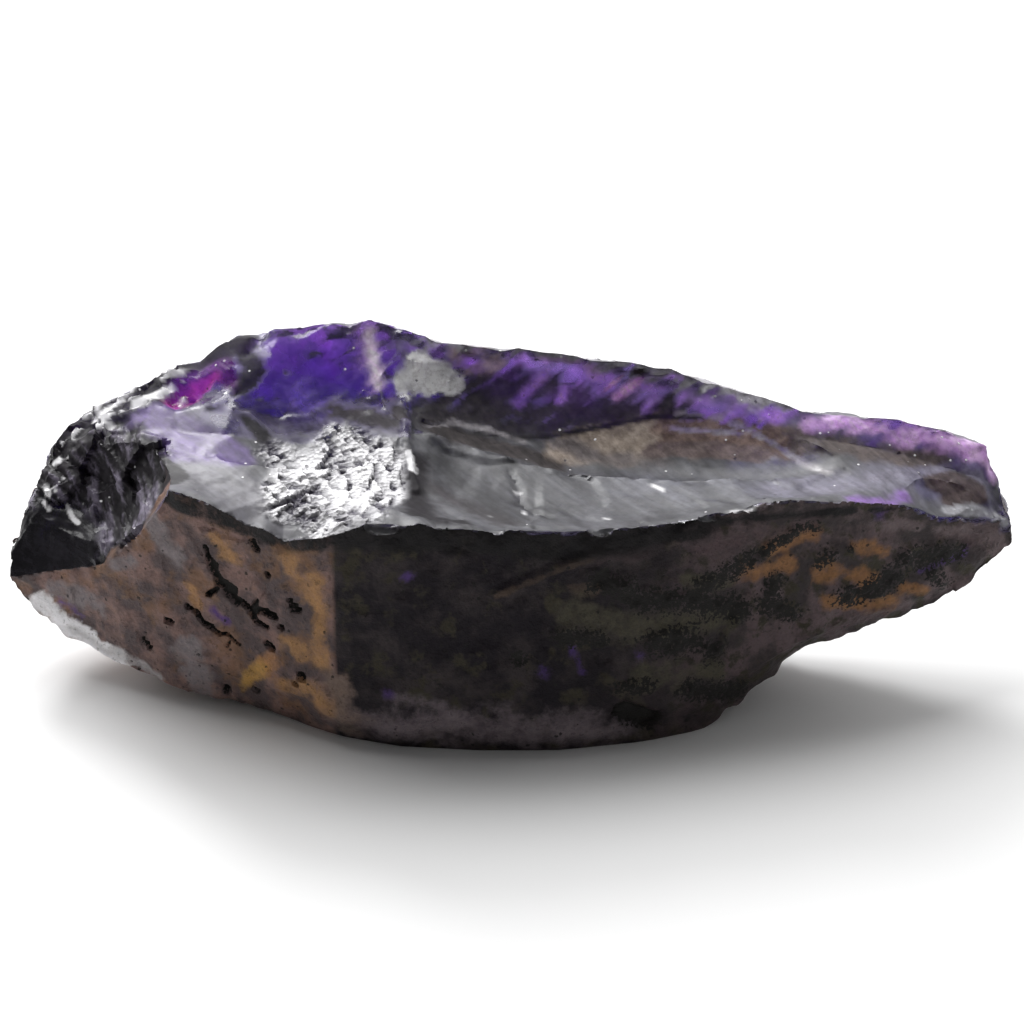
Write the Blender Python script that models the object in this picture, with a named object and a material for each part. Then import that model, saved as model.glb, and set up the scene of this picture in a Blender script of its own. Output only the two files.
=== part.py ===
"""A broken piece of purple gem crystal, one solid, lying on the flat of its sole.

Metres, +Z up, +X along the piece towards its thin end. The fresh break is on top, and the weathered skin
is on the front (-Y), the back (+Y) and below. The origin is under the middle of the piece, on the surface
it lies on. A closed block is skinned over cross-sections of its ridge lines, and then each flake is
knocked off it.
"""

import math

import bmesh
import bpy
from mathutils import Vector

MM = 0.001
CENTRE = Vector((-0.15, 9.04, 0.0))  # millimetres: the middle of the piece's box, on its sole

# The ridges of the piece, each a line of (x, y, z) points in millimetres, from the blunt to the thin end.
# Going round a cross-section they follow one another in this order.
FRONT_RIM = [
    (-30.6, 10.0, 6.6),
    (-27.8, 9.0, 7.2),
    (-25.9, 8.0, 8.2),
    (-24.1, 6.8, 9.8),
    (-22.3, 5.8, 11.6),
    (-21.4, 5.4, 13.6),
    (-20.5, 5.0, 14.6),
    (-19.2, 4.4, 14.9),
    (-16.9, 3.4, 14.4),
    (-13.3, 1.5, 13.3),
    (-11.2, 0.6, 13.9),
    (-9.7, 0.3, 15.1),
    (-3.7, 0.8, 14.7),
    (2.9, 1.6, 14.0),
    (7.8, 2.6, 13.7),
    (11.4, 3.6, 13.9),
    (15.0, 4.6, 14.1),
    (20.4, 6.2, 13.5),
    (25.2, 8.0, 11.6),
    (28.8, 9.6, 10.2),
    (30.3, 10.2, 9.7),
]
SILL = [
    (-30.6, 10.4, 6.9),
    (-28.8, 10.6, 9.4),
    (-26.5, 10.5, 11.6),
    (-22.5, 9.0, 14.0),
    (-17.0, 7.2, 14.7),
    (-10.0, 6.0, 15.2),
    (-4.0, 6.4, 14.6),
    (5.0, 7.0, 13.8),
    (15.0, 8.6, 13.9),
    (24.0, 10.4, 12.6),
    (30.3, 10.8, 10.6),
]
WALL_FOOT = [
    (-30.6, 10.7, 7.1),
    (-28.8, 11.6, 10.2),
    (-26.5, 13.0, 13.0),
    (-22.0, 13.0, 14.6),
    (-16.5, 11.6, 14.8),
    (-7.0, 11.4, 14.9),
    (-4.0, 13.0, 14.4),
    (0.5, 13.4, 14.2),
    (5.4, 14.0, 14.2),
    (10.2, 14.2, 14.2),
    (17.4, 13.2, 14.0),
    (23.4, 12.8, 13.0),
    (30.3, 11.6, 11.2),
]
REAR_RIM = [
    (-30.6, 11.0, 7.0),
    (-29.8, 11.8, 9.3),
    (-28.8, 13.2, 11.6),
    (-27.8, 14.8, 13.1),
    (-26.4, 15.8, 13.7),
    (-25.2, 16.4, 14.3),
    (-21.4, 17.2, 16.1),
    (-19.4, 17.4, 16.5),
    (-18.3, 17.6, 17.4),
    (-16.9, 17.9, 18.3),
    (-11.3, 18.0, 19.0),
    (-8.8, 17.8, 19.5),
    (-6.8, 17.6, 19.1),
    (-5.0, 17.2, 18.4),
    (0.5, 16.8, 17.9),
    (5.4, 16.5, 17.5),
    (8.6, 16.3, 17.0),
    (11.2, 16.0, 16.5),
    (14.9, 15.4, 15.5),
    (17.3, 14.8, 14.8),
    (20.4, 14.6, 14.7),
    (23.6, 14.4, 14.2),
    (26.8, 14.1, 13.7),
    (29.0, 13.7, 13.1),
    (30.3, 12.4, 11.4),
]
LEDGE = Vector((0.0, 1.0, -0.5))  # from the rear rim to the outer edge of the narrow ledge behind it
REAR_EDGE = [tuple(Vector(point) + LEDGE) for point in REAR_RIM[1:]]
BACK_BELT = [
    (-30.6, 11.2, 6.4),
    (-28.6, 13.6, 7.6),
    (-26.0, 15.2, 8.0),
    (-18.0, 16.9, 9.2),
    (-10.0, 17.4, 9.6),
    (-4.0, 18.8, 10.4),
    (1.0, 18.0, 10.2),
    (6.0, 15.6, 9.0),
    (14.0, 14.2, 9.2),
    (22.0, 13.4, 9.8),
    (30.3, 12.9, 10.0),
]
BACK_FOOT = [
    (-30.6, 11.0, 5.9),
    (-28.4, 12.6, 4.4),
    (-26.0, 13.2, 3.0),
    (-18.0, 14.0, 0.9),
    (-10.0, 14.4, -0.4),
    (2.0, 13.6, -0.4),
    (10.0, 12.4, -0.4),
    (16.0, 12.0, 1.8),
    (22.0, 11.6, 4.6),
    (30.3, 12.0, 9.0),
]
KEEL = [
    (-30.6, 10.6, 5.6),
    (-28.0, 10.6, 2.9),
    (-25.0, 9.8, 1.6),
    (-22.0, 9.0, 0.7),
    (-14.0, 8.2, -0.4),
    (8.0, 7.0, -0.4),
    (13.0, 7.8, 0.6),
    (17.4, 8.8, 2.3),
    (24.0, 10.0, 4.8),
    (30.3, 10.9, 8.4),
]
FRONT_FOOT = [
    (-30.6, 10.0, 5.5),
    (-29.4, 9.3, 4.2),
    (-27.6, 8.6, 2.9),
    (-24.0, 6.7, 1.7),
    (-20.8, 5.5, 1.0),
    (-17.8, 4.6, 0.6),
    (-15.1, 4.0, 0.3),
    (-10.3, 1.4, -0.2),
    (-6.7, 0.3, -0.4),
    (-1.9, -0.2, -0.4),
    (2.9, -0.2, -0.4),
    (7.8, 0.7, -0.4),
    (11.4, 2.0, -0.2),
    (12.6, 2.8, 0.6),
    (14.2, 4.0, 1.1),
    (15.6, 5.2, 1.7),
    (17.4, 6.2, 2.9),
    (20.4, 6.8, 3.9),
    (23.4, 7.4, 4.6),
    (25.6, 7.9, 5.3),
    (28.3, 8.8, 6.8),
    (30.3, 9.9, 8.5),
]
FRONT_BELT = [
    (-30.6, 9.8, 6.1),
    (-27.0, 8.6, 4.4),
    (-22.0, 5.4, 3.8),
    (-16.0, 3.2, 3.2),
    (-10.6, 0.0, 2.6),
    (-6.0, -0.9, 2.8),
    (2.0, -0.9, 2.8),
    (9.0, 0.6, 2.8),
    (14.0, 3.2, 3.4),
    (20.4, 5.9, 5.4),
    (25.2, 7.5, 6.8),
    (30.3, 9.8, 9.2),
]
RIDGES = (
    FRONT_RIM,
    SILL,
    WALL_FOOT,
    REAR_RIM,
    REAR_EDGE,
    BACK_BELT,
    BACK_FOOT,
    KEEL,
    FRONT_FOOT,
    FRONT_BELT,
)
STATION_PITCH = 1.15  # millimetres between cross-sections
STRIP_PITCH = 1.8  # millimetres between the points that fill a strip from ridge to ridge
WIDTH_STATIONS = (-20, -8, 4, 16)  # millimetres along the piece, where the strips are measured across

# Each scar that a flake left: where its middle is, its length, width and depth in millimetres, and the turn
# in degrees about X, Y and Z that points it outwards, starting from straight up.
SCARS = {
    "rear_wall": ((7.0, 14.9, 15.6), (22.0, 7.0, 0.8), (54, 4, -6)),
    "main_scoop": ((4.5, 8.4, 13.9), (22.0, 11.0, 0.9), (4, 0, 4)),
    "scoop_corner": ((-4.2, 9.6, 14.4), (5.0, 8.0, 0.7), (10, 22, 0)),
    "scoop_tail": ((16.0, 9.8, 13.8), (12.0, 6.0, 0.5), (8, 4, 10)),
    "hump_window": ((-12.4, 14.6, 16.9), (13.0, 9.0, 0.7), (38, 0, 2)),
    "hump_shoulder": ((-6.4, 15.0, 17.1), (5.0, 6.5, 0.4), (34, 22, 0)),
    "sparkle_step": ((-12.0, 6.8, 15.0), (11.0, 9.0, 0.6), (4, 2, -6)),
    "blunt_bowl": ((-25.2, 9.7, 12.5), (12.0, 10.0, 2.1), (34, -38, 0)),
    "blunt_toe": ((-27.3, 9.0, 8.4), (8.5, 6.4, 0.45), (44, -47, 0)),
    "end_scoop": ((26.5, 9.8, 11.9), (5.4, 4.2, 0.7), (24, 10, 6)),
    "back_flat": ((-14.0, 18.0, 13.0), (22.0, 8.0, 0.5), (-103, -3, 3)),
    "back_dish": ((9.5, 16.0, 12.4), (22.0, 6.5, 0.5), (-104, 3, -7)),
    "back_heel": ((-18.0, 15.3, 4.8), (19.0, 9.0, 0.7), (-108, -6, 8)),
    "back_tail": ((13.0, 13.3, 5.0), (19.0, 8.0, 0.6), (-110, 6, -10)),
    "rim_chip_left": ((-7.6, 0.3, 14.9), (3.2, 2.0, 0.5), (38, 10, 0)),
    "rim_chip_middle": ((5.6, 1.9, 13.9), (2.6, 1.9, 0.5), (48, -8, 0)),
    "rim_chip_right": ((11.8, 3.5, 13.9), (2.4, 1.8, 0.5), (42, 12, 0)),
    "rim_chip_end": ((14.6, 4.3, 14.1), (2.0, 1.8, 0.5), (44, -6, 0)),
}
CAP_SHARE = 4.0  # half the height of the ellipsoid that cuts a scar, as a multiple of the scar's depth
SCAR_DETAIL = 4  # subdivisions of that ellipsoid

# The wear of the break's two rims, as waves along the piece: each wave's height and length in millimetres.
RIM_WAVES = ((0.16, 7.3), (0.10, 3.1), (0.08, 1.9))

SKIN_COLOR = (0.10, 0.075, 0.06, 1)
SKIN_ROUGHNESS = 0.45


def at(ridge, x):
    """The point of a ridge at x, on the straight line between the ridge's two nearest points."""
    if x <= ridge[0][0]:
        return Vector(ridge[0])
    for start, end in zip(ridge, ridge[1:]):
        if x <= end[0]:
            share = (x - start[0]) / (end[0] - start[0])
            return Vector(start).lerp(Vector(end), share)
    return Vector(ridge[-1])


def rim_wear(x):
    """How far a rim of the break stands above its ridge line at x."""
    return sum(height * math.sin(2 * math.pi * x / length) for height, length in RIM_WAVES)


def section(x):
    """The outline of the piece at x: every ridge's point, and even steps on the strips between them."""
    points = []
    for ridge, after in zip(RIDGES, RIDGES[1:] + RIDGES[:1]):
        widest = max((at(ridge, s) - at(after, s)).length for s in WIDTH_STATIONS)
        steps = max(1, round(widest / STRIP_PITCH))
        here, there = at(ridge, x), at(after, x)
        strip = [here.lerp(there, i / steps) for i in range(steps)]
        if ridge in (FRONT_RIM, REAR_RIM):
            strip[0].z += rim_wear(x)
        points += strip
    return points


def block():
    """The piece before its flakes came off: cross-sections at every station, skinned and closed."""
    bm = bmesh.new()
    first, last = FRONT_RIM[0][0], FRONT_RIM[-1][0]
    count = round((last - first) / STATION_PITCH)
    rings = []
    for i in range(count + 1):
        x = first + (last - first) * i / count
        rings.append([bm.verts.new((point - CENTRE) * MM) for point in section(x)])
    for near, far in zip(rings, rings[1:]):
        for j in range(len(near)):
            k = (j + 1) % len(near)
            bm.faces.new((near[j], near[k], far[k], far[j]))
    bm.faces.new(rings[0])
    bm.faces.new(rings[-1])
    bmesh.ops.triangulate(bm, faces=bm.faces)
    cut_sole(bm)
    bmesh.ops.recalc_face_normals(bm, faces=bm.faces)
    return bm


def cut_sole(bm):
    """Cut the block off flat at z = 0, and close it there."""
    everything = bm.verts[:] + bm.edges[:] + bm.faces[:]
    down = (0, 0, -1)
    cut = bmesh.ops.bisect_plane(bm, geom=everything, plane_co=(0, 0, 0), plane_no=down, clear_outer=True)
    outline = [part for part in cut["geom_cut"] if isinstance(part, bmesh.types.BMEdge)]
    bmesh.ops.contextual_create(bm, geom=outline)


def to_object(bm, name, collection):
    mesh = bpy.data.meshes.new(name)
    bm.to_mesh(mesh)
    bm.free()
    made = bpy.data.objects.new(name, mesh)
    collection.objects.link(made)
    return made


def cutter_object(bm, name, middle, turn, cutters):
    """A shape to be knocked off the piece, at its place in millimetres and turned by angles in degrees."""
    cutter = to_object(bm, name, cutters)
    cutter.location = (Vector(middle) - CENTRE) * MM
    cutter.rotation_euler = [math.radians(angle) for angle in turn]
    cutter.hide_render = True
    cutter.display_type = "WIRE"


def scar_cutter(name, middle, size, turn, cutters):
    """The ellipsoid whose lower cap is one scar."""
    length, width, depth = size
    tall = CAP_SHARE * depth
    cap_share = math.sqrt(1 - (1 - depth / tall) ** 2)
    bm = bmesh.new()
    bmesh.ops.create_icosphere(bm, subdivisions=SCAR_DETAIL, radius=MM)
    bmesh.ops.scale(bm, vec=(length / 2 / cap_share, width / 2 / cap_share, tall), verts=bm.verts)
    bmesh.ops.translate(bm, vec=(0, 0, (tall - depth) * MM), verts=bm.verts)
    cutter_object(bm, "scar_" + name, middle, turn, cutters)


def crystal_material():
    material = bpy.data.materials.new("crystal_skin")
    material.use_nodes = True
    shader = material.node_tree.nodes["Principled BSDF"]
    shader.inputs["Base Color"].default_value = SKIN_COLOR
    shader.inputs["Roughness"].default_value = SKIN_ROUGHNESS
    shader.inputs["Metallic"].default_value = 0.0
    return material


def main():
    for old in list(bpy.data.objects):
        bpy.data.objects.remove(old)
    crystal = to_object(block(), "crystal", bpy.context.scene.collection)
    crystal.data.materials.append(crystal_material())
    cutters = bpy.data.collections.new("flakes")
    bpy.context.scene.collection.children.link(cutters)
    for name, (middle, size, turn) in SCARS.items():
        scar_cutter(name, middle, size, turn, cutters)
    for cutter in cutters.objects:
        knock = crystal.modifiers.new(cutter.name, "BOOLEAN")
        knock.operation = "DIFFERENCE"
        knock.object = cutter


main()
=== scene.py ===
"""A rough sapphire: one broken piece of purple crystal, clear where it broke and brown where it weathered."""

import math

import bmesh
import bpy
import numpy as np
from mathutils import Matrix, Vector, noise


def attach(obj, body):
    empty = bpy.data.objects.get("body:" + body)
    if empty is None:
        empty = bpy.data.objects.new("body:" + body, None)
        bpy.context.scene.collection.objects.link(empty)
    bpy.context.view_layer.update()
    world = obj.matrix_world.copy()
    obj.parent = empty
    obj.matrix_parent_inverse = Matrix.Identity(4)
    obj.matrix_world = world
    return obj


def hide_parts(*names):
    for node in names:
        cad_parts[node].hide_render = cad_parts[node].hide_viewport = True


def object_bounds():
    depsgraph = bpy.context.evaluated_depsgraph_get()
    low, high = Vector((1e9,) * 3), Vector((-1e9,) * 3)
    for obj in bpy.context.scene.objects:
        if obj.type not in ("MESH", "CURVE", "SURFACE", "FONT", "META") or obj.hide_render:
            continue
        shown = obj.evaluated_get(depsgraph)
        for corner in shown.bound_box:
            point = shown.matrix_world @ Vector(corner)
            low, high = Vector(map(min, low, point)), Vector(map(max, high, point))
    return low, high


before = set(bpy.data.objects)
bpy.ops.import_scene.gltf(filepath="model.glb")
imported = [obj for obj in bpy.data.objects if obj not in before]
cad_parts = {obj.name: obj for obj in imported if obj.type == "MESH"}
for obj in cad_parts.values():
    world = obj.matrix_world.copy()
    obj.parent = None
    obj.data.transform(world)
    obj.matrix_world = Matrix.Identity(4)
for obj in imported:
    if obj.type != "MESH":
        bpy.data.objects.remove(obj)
cad_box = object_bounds()

# ------------------------------------------------------------------------------
# The view: one camera in front of the long weathered side, looking down on the broken top.
# A long lens keeps the two ends of the piece at the same scale.
# ------------------------------------------------------------------------------
VIEW_ELEVATION = math.radians(30)
VIEW_DISTANCE = 0.26
VIEW_WIDTH = 0.0612
VIEW_TARGET = Vector((0.00015, -0.00154, 0.0119))
SENSOR_WIDTH = 36.0
NEAREST_SEEN = 0.01


def add_object(name, data):
    """An object of the scene, at the origin."""
    made = bpy.data.objects.new(name, data)
    bpy.context.scene.collection.objects.link(made)
    return made


lens = bpy.data.cameras.new("camera")
lens.sensor_width = SENSOR_WIDTH
lens.lens = SENSOR_WIDTH * VIEW_DISTANCE / VIEW_WIDTH
lens.clip_start = NEAREST_SEEN
camera = add_object("camera", lens)
towards_camera = Vector((0, -math.cos(VIEW_ELEVATION), math.sin(VIEW_ELEVATION)))
camera.location = VIEW_TARGET + VIEW_DISTANCE * towards_camera
camera.rotation_euler = towards_camera.to_track_quat("Z", "Y").to_euler()
bpy.context.scene.camera = camera

# ------------------------------------------------------------------------------
# The crystal: a single piece of sapphire as it left the hammer, glassy and scooped by flake scars on top.
# Its sides are the old skin of the crystal, pitted and cracked, and stained brown and black by the ground.
# ------------------------------------------------------------------------------
MM = 0.001
GRID_DEPTH = 8  # the piece is remeshed on a grid of two to this power cells along its length
GRID_FILL = 0.95
MERGE_DISTANCE = 1e-6
SHARP_FOLD = math.radians(24)
SMOOTH_LIMIT = math.radians(38)
FINE_FOLDS_ABOVE = 5 * MM

bm = bmesh.new()
bm.from_mesh(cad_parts["crystal"].data)
bmesh.ops.remove_doubles(bm, verts=bm.verts, dist=MERGE_DISTANCE)
mesh = bpy.data.meshes.new("crystal_block")
bm.to_mesh(mesh)
bm.free()
block = add_object("crystal_block", mesh)
grid = block.modifiers.new("grid", "REMESH")
grid.mode = "SHARP"
grid.octree_depth = GRID_DEPTH
grid.scale = GRID_FILL
grid.use_remove_disconnected = False
evaluated = block.evaluated_get(bpy.context.evaluated_depsgraph_get())
stone_mesh = bpy.data.meshes.new_from_object(evaluated)
bpy.data.objects.remove(block)

# Broad places on the piece, each a middle and a reach along X, Y and Z, in millimetres.
BOWL = ((-25.2, 1.2, 11.6), (6.4, 5.4, 4.6))
TOE = ((-27.9, 0.3, 8.0), (4.3, 3.6, 3.4))
STEP_PATCH = ((-10.2, -2.3, 14.6), (5.2, 6.6, 2.6))
STEP_PATCH_RIGHT = ((-7.8, -2.6, 14.6), (3.0, 5.6, 2.6))
ASHY_CORNER = ((-11.8, -6.0, 14.4), (2.2, 1.8, 2.0))

# The cracked part of the front, from its lowest to its highest X, Y and Z.
CRACKED_FROM, CRACKED_TO = (-20, -math.inf, 4), (-13, -3.6, 13)


def eased(low, high, value):
    """0 at low, 1 at high, and a smooth step between them; high may be the lesser of the two."""
    share = np.clip((value - low) / (high - low), 0, 1)
    return share * share * (3 - 2 * share)


def reached(place, at, edge=0.25):
    """1 in the heart of a place and 0 outside it; edge is the share of its reach that fades."""
    middle, reach = place
    away = np.linalg.norm((at - np.array(middle)) / np.array(reach), axis=-1)
    return 1 - eased(1 - edge, 1, away)


# The stepped, scooped, cracked and sharp-edged parts get a finer mesh.
bm = bmesh.new()
bm.from_mesh(stone_mesh)
bm.verts.ensure_lookup_table()
points = np.array([v.co for v in bm.verts]) / MM
fine = np.maximum(reached(STEP_PATCH, points), reached(BOWL, points)) > 0.05
cracked = ((points > CRACKED_FROM) & (points < CRACKED_TO)).all(axis=1)
folds = np.zeros(len(points), bool)
for edge in bm.edges:
    if edge.calc_face_angle(0) > SHARP_FOLD and edge.verts[0].co.z > FINE_FOLDS_ABOVE:
        folds[[v.index for v in edge.verts]] = True
split = fine | cracked | folds
edges = [edge for edge in bm.edges if split[edge.verts[0].index] or split[edge.verts[1].index]]
bmesh.ops.subdivide_edges(bm, edges=edges, cuts=1, use_grid_fill=True)
odd_faces = [face for face in bm.faces if len(face.verts) > 4]
bmesh.ops.triangulate(bm, faces=odd_faces)
bm.to_mesh(stone_mesh)
bm.free()

points = np.array([v.co for v in stone_mesh.vertices]) / MM
normals = np.array([v.normal for v in stone_mesh.vertices])
x, y, z = points.T
upward = normals[:, 2]


def layered(places, layers, fading=0.75, finer=2.1):
    """Noise in layers at each place, every layer finer than the one before by the given factor."""
    return np.array([noise.fractal(place, fading, finer, layers) for place in places.tolist()])


def lumps(size, at=(0, 0, 0), lie=None, layers=1):
    """Smooth noise over the piece, from about -1 to 1, with lumps size millimetres across.

    A shift by at gives a pattern of its own. With lie = (direction, length) the lumps are drawn out to
    that length along that direction.
    """
    axes = np.eye(3) / size
    if lie:
        run = Vector(lie[0]).normalized()
        side = run.orthogonal().normalized()
        axes = np.array([run / lie[1], side / size, run.cross(side) / size])
    moved = points @ axes.T + at
    if layers == 1:
        return np.array([noise.noise(place) for place in moved.tolist()])
    return layered(moved, layers)


# What makes the edges of stains and films ragged. On the high walls it runs down in streaks.
WALL_RUN = (1.9, 0.9, 1.3)
WALL_BELOW = 0.86  # a break that faces up less than this is a wall
ragged = lumps(1.3) * 0.6 + lumps(0.5, at=(3, 1, 2)) * 0.4
wall_streaks = lumps(0.5, at=(1, 2, 3), lie=(WALL_RUN, 4.0), layers=2)
on_wall = eased(0.90, 0.80, upward) * eased(3.0, 4.5, y)
ragged += on_wall * (wall_streaks - 0.5 * ragged)

FAR_AWAY = 9.0  # further than any stroke or rim reaches


def along(*strokes, blur=0.55, wobble=0.35):
    """1 on any of the strokes and 0 beyond its reach, with a ragged edge.

    A stroke is a path and a reach, which may be three reaches along X, Y and Z. Blur is the share of the
    reach that fades, and wobble is how ragged the edge is.
    """
    nearest = np.full(len(points), FAR_AWAY)
    for path, reach in strokes:
        corners = [np.array(corner) for corner in path]
        for start, end in zip(corners, corners[1:] or corners):
            run = end - start
            share = np.clip((points - start) @ run / max(run @ run, 1e-9), 0, 1)
            away = np.linalg.norm((points - start - share[:, None] * run) / reach, axis=1)
            nearest = np.minimum(nearest, away)
    return 1 - eased(1 - blur, 1, nearest + wobble * ragged)


# Which way each place faces, evened out with its neighbours.
ends = np.array([edge.vertices for edge in stone_mesh.edges])
facing = normals.copy()
SMOOTHING_ROUNDS = 3
for _ in range(SMOOTHING_ROUNDS):
    evened = facing.copy()
    np.add.at(evened, ends[:, 0], facing[ends[:, 1]])
    np.add.at(evened, ends[:, 1], facing[ends[:, 0]])
    facing = evened / np.linalg.norm(evened, axis=1)[:, None]
_, facing_back, facing_up = facing.T

# Where the old skin lies: all the front and the underside, and the lower part of the back.
rim_lean = np.where(y < -1.8, 0.34, 0.0)
front = eased(0.44, 0.30, facing_up - rim_lean) * eased(0.25, -0.05, facing_back)
back = eased(0.10, 0.40, facing_back) * eased(0.45, 0.20, facing_up)
back_patches = lumps(4.5, at=(2, 2, 2)) + 0.5 * lumps(1.4, at=(6, 2, 1), layers=3)
back_cover = eased(10.8, 9.2, z + 6.0 * back_patches)
under = eased(-0.35, -0.60, facing_up)
toe = reached(TOE, points) * eased(0.05, 0.30, upward)
bowl_places = points + 1.6 * lumps(3.0, at=(7, 7, 2))[:, None]
bowl = reached(BOWL, bowl_places, edge=0.12) * (1 - toe)
glassy = np.maximum(bowl * eased(0.0, 0.2, upward), toe)
skin = np.maximum.reduce([front, back * back_cover, under]) * (1 - glassy)

# What the ground left on the skin: first the cracks, holes and crusts, all black.
CRACKS = (
    (((-17.9, -5.1, 11.7), (-17.8, -5.2, 10.9), (-17.4, -5.3, 10.4)), 0.22),
    (((-17.5, -5.3, 10.4), (-17.2, -5.5, 9.4), (-16.4, -5.8, 8.9)), 0.40),
    (((-16.8, -5.7, 8.8), (-16.2, -5.9, 8.2)), 0.48),
    (((-16.0, -5.9, 8.5), (-15.3, -6.2, 7.9), (-14.6, -6.6, 8.2), (-13.8, -7.1, 8.0)), 0.26),
    (((-15.2, -6.3, 8.1), (-14.9, -6.5, 8.7)), 0.18),
    (((-19.3, -4.6, 7.1), (-18.8, -4.8, 6.9), (-18.2, -5.0, 6.2), (-17.8, -5.2, 6.1)), 0.24),
    (((-17.8, -5.2, 6.1), (-17.3, -5.4, 5.7), (-16.8, -5.6, 5.8), (-16.2, -5.8, 5.2)), 0.18),
    (((-22.2, -3.4, 4.1), (-22.0, -3.5, 3.8), (-21.7, -3.6, 3.6)), 0.24),
    (((-15.1, -6.5, 12.7), (-14.9, -6.6, 12.3)), 0.34),
    (((-14.2, -6.9, 10.7),), 0.28),
    (((-20.5, -4.1, 5.9), (-20.2, -4.2, 5.8)), 0.24),
    (((-17.3, -5.4, 8.9), (-17.9, -5.1, 8.3)), 0.22),
    (((-15.4, -6.2, 8.1), (-15.0, -6.5, 7.3), (-14.4, -6.8, 7.0)), 0.20),
    (((-16.6, -5.7, 5.6), (-16.9, -5.6, 4.9)), 0.20),
    (((-13.0, -7.6, 9.4), (-12.5, -7.8, 8.8)), 0.20),
    (((-14.6, -6.7, 5.9), (-14.1, -6.9, 5.6)), 0.24),
)
HOLES = (
    (((6.8, -9.0, 2.3), (8.5, -8.4, 1.6)), 0.95),
    (((-12.4, -7.9, 4.3),), 0.36),
    (((-17.0, -4.9, 1.4),), 0.36),
    (((-13.5, -7.3, 7.3),), 0.25),
    (((-15.3, -5.7, 1.9),), 0.28),
    (((-12.8, -7.7, 3.6),), 0.26),
)
BLACK_CRUSTS = (
    (((11.3, -6.2, 9.6), (12.7, -5.6, 10.2), (14.2, -5.1, 10.6)), 1.0),
    (((15.0, -4.8, 10.9), (17.2, -3.9, 12.2), (18.1, -3.7, 12.0)), 0.6),
    (((18.6, -3.7, 9.7), (19.1, -3.5, 9.9)), 0.7),
    (((20.1, -3.2, 7.1), (21.7, -2.7, 7.2), (23.0, -2.2, 7.9)), 1.3),
    (((23.7, -1.9, 8.9), (26.6, -0.8, 8.7)), 1.2),
    (((25.4, -1.4, 7.5), (26.3, -1.1, 6.7)), 0.8),
    (((20.3, -3.0, 10.3),), 0.5),
    (((10.8, -7.6, 3.1), (13.9, -5.6, 1.9)), 1.1),
    (((15.8, -4.7, 9.0), (15.2, -5.0, 7.8), (16.5, -4.4, 6.8)), 1.1),
    (((5.3, -7.6, 10.8), (7.7, -7.4, 9.3), (10.7, -6.6, 8.8), (13.7, -5.6, 7.5)), 1.2),
    (((8.5, -7.6, 6.5), (10.4, -7.0, 6.3), (12.0, -6.4, 5.3)), 1.3),
    (((3.0, -8.9, 7.6), (5.4, -8.6, 7.2)), 0.9),
    (((0.6, -9.3, 6.4),), 0.7),
    (((6.2, -8.6, 3.9), (8.2, -8.2, 3.9)), 0.8),
)
cracks, holes = along(*CRACKS, wobble=0.6), along(*HOLES)
crusts = along(*BLACK_CRUSTS, blur=0.9, wobble=0.5)
black = np.maximum(cracks, holes)

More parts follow.
